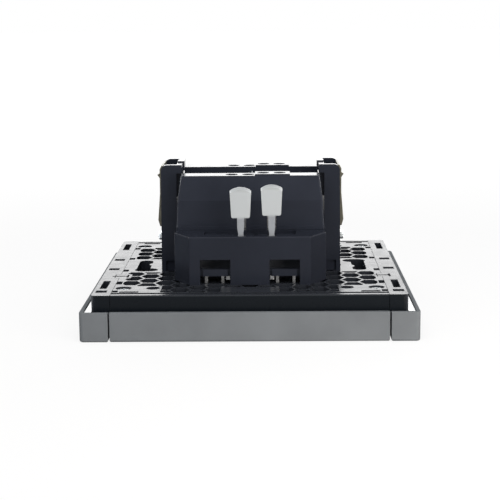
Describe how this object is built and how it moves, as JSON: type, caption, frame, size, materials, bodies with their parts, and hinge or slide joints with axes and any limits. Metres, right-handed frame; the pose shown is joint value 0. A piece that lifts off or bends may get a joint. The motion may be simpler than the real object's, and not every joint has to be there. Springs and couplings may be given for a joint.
{
  "type": "illuminated light switch",
  "caption": "Square flush light switch with a grey full-face rocker, a lit window, a honeycomb support frame, spreading claws and spring terminals with release levers.",
  "frame": {"origin": "centre of the front face, on the surface that the switch lies on", "axes": "+Z from the front face to the back of the switch, +X to the right and -Y towards the viewer of the picture"},
  "size_m": [0.086, 0.086, 0.0412],
  "materials": {
    "grey_cover": "satin grey",
    "clear_lens": "clear",
    "black_frame": "semi-gloss",
    "dark_housing": "fine matte",
    "pale_plastic": "satin",
    "zinc_steel": "zinc plated",
    "spring_steel": "bright",
    "claw_steel": "passivated",
    "brass": "plain",
    "board": "solder mask",
    "lamp_body": "plain"
  },
  "bodies": {
    "base": {"side_strip_right": "grey_cover", "side_strip_left": "grey_cover", "side_rail_right": "black_frame", "side_rail_left": "black_frame", "frame_screws": "zinc_steel", "support_plate": "black_frame", "housing": "dark_housing", "terminal_cover": "dark_housing", "inner_cover": "dark_housing", "plunger_spring": "spring_steel", "lamp_board": "board", "lamp": "lamp_body", "terminal_bar_front_left": "brass", "terminal_bar_front_right": "brass", "terminal_bar_rear_left": "brass", "terminal_bar_rear_right": "brass", "terminal_spring_front_left": "spring_steel", "terminal_spring_front_right": "spring_steel", "terminal_spring_rear_left": "spring_steel", "terminal_spring_rear_right": "spring_steel", "latch_spring_front_left": "spring_steel", "latch_spring_front_right": "spring_steel", "latch_spring_rear_left": "spring_steel", "latch_spring_rear_right": "spring_steel"},
    "rocker_body": {"rocker": "grey_cover", "light_lens": "clear_lens"},
    "plunger_body": {"plunger": "pale_plastic"},
    "toggle_body": {"toggle_cradle": "pale_plastic", "moving_contact": "brass"},
    "lever_front_left_body": {"release_lever_front_left": "pale_plastic"},
    "lever_front_right_body": {"release_lever_front_right": "pale_plastic"},
    "lever_rear_left_body": {"release_lever_rear_left": "pale_plastic"},
    "lever_rear_right_body": {"release_lever_rear_right": "pale_plastic"},
    "claw_screw_left_body": {"claw_screw_left": "zinc_steel"},
    "claw_left_body": {"claw_left": "claw_steel"},
    "claw_screw_right_body": {"claw_screw_right": "zinc_steel"},
    "claw_right_body": {"claw_right": "claw_steel"}
  },
  "joints": [
    {"name": "rocker_press", "type": "hinge", "parent": "base", "child": "rocker_body", "pos_m": [0, 0.0368, 0.00492], "axis": [-1, 0, 0], "range_deg": [0, 1.75], "stiffness_Nm_per_rad": 1, "springref_deg": -2.86},
    {"name": "plunger_slide", "type": "slide", "parent": "base", "child": "plunger_body", "axis": [0, 0, 1], "range_m": [0, 0.0012], "deforming": ["plunger_spring"]},
    {"name": "toggle_tip", "type": "hinge", "parent": "base", "child": "toggle_body", "pos_m": [0, 0, 0.0195], "axis": [-1, 0, 0], "range_deg": [0, 14]},
    {"name": "lever_front_left_pull", "type": "hinge", "parent": "base", "child": "lever_front_left_body", "pos_m": [-0.00236, -0.0249, 0.02252], "axis": [1, 0, 0], "range_deg": [0, 20], "stiffness_Nm_per_rad": 0.01, "springref_deg": -17.19},
    {"name": "lever_front_right_pull", "type": "hinge", "parent": "base", "child": "lever_front_right_body", "pos_m": [0.00575, -0.0249, 0.02252], "axis": [1, 0, 0], "range_deg": [0, 20], "stiffness_Nm_per_rad": 0.01, "springref_deg": -17.19},
    {"name": "lever_rear_left_pull", "type": "hinge", "parent": "base", "child": "lever_rear_left_body", "pos_m": [-0.00236, 0.0249, 0.02252], "axis": [-1, 0, 0], "range_deg": [0, 20], "stiffness_Nm_per_rad": 0.01, "springref_deg": -17.19},
    {"name": "lever_rear_right_pull", "type": "hinge", "parent": "base", "child": "lever_rear_right_body", "pos_m": [0.00575, 0.0249, 0.02252], "axis": [-1, 0, 0], "range_deg": [0, 20], "stiffness_Nm_per_rad": 0.01, "springref_deg": -17.19},
    {"name": "claw_screw_left_turn", "type": "hinge", "parent": "base", "child": "claw_screw_left_body", "pos_m": [-0.0234, 0, 0.016], "axis": [0, 0, 1], "range_deg": [0, 3600]},
    {"name": "claw_left_spread", "type": "hinge", "parent": "base", "child": "claw_left_body", "pos_m": [-0.0234, 0, 0.0242], "axis": [0, -1, 0], "range_deg": [0, 18]},
    {"name": "claw_screw_right_turn", "type": "hinge", "parent": "base", "child": "claw_screw_right_body", "pos_m": [0.0234, 0, 0.016], "axis": [0, 0, 1], "range_deg": [0, 3600]},
    {"name": "claw_right_spread", "type": "hinge", "parent": "base", "child": "claw_right_body", "pos_m": [0.0234, 0, 0.0242], "axis": [0, 1, 0], "range_deg": [0, 18]}
  ],
  "couplings": [
    {"joint": "plunger_slide", "follows": "rocker_press", "m_per_rad": 0.0388},
    {"joint": "claw_left_spread", "follows": "claw_screw_left_turn", "ratio": 0.005},
    {"joint": "claw_right_spread", "follows": "claw_screw_right_turn", "ratio": 0.005}
  ]
}
